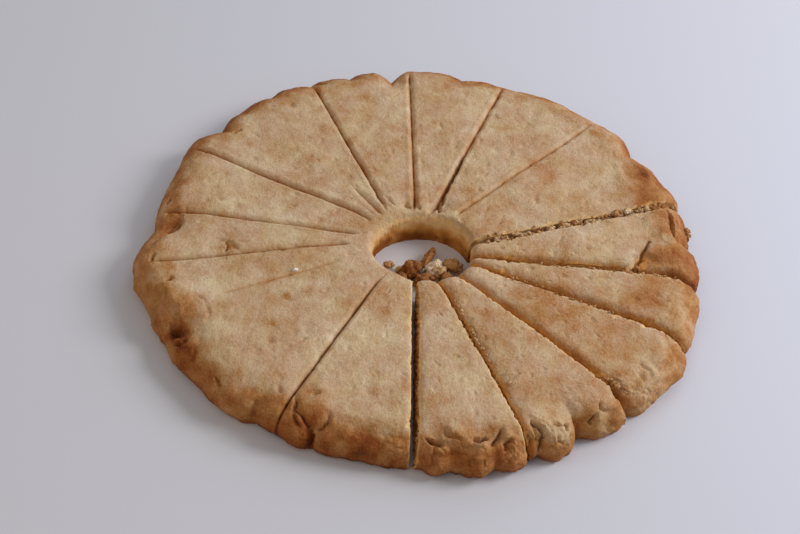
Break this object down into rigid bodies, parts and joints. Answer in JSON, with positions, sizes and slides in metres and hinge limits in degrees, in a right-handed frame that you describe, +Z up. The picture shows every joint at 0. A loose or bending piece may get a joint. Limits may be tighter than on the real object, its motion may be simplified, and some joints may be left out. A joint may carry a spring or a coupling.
{
  "type": "shortbread biscuit",
  "caption": "Round of baked shortbread with a hole in its middle, scored all round and partly cut through into loose wedge-shaped slices that keep the whole's shape.",
  "frame": {"origin": "on the surface that the round lies on, under the middle of its outline", "axes": "+Z up through the thickness of the round, +Y towards its back and +X to its right, as the picture shows it"},
  "size_m": [0.2269, 0.2307, 0.0157],
  "materials": {
    "shortbread": "dry baked crust, fine sandy crumb, browned towards the rim"
  },
  "bodies": {
    "root": {"scored_round": "shortbread", "slice_1": "shortbread", "slice_2": "shortbread", "slice_3": "shortbread", "slice_4": "shortbread", "slice_5": "shortbread"}
  },
  "joints": []
}
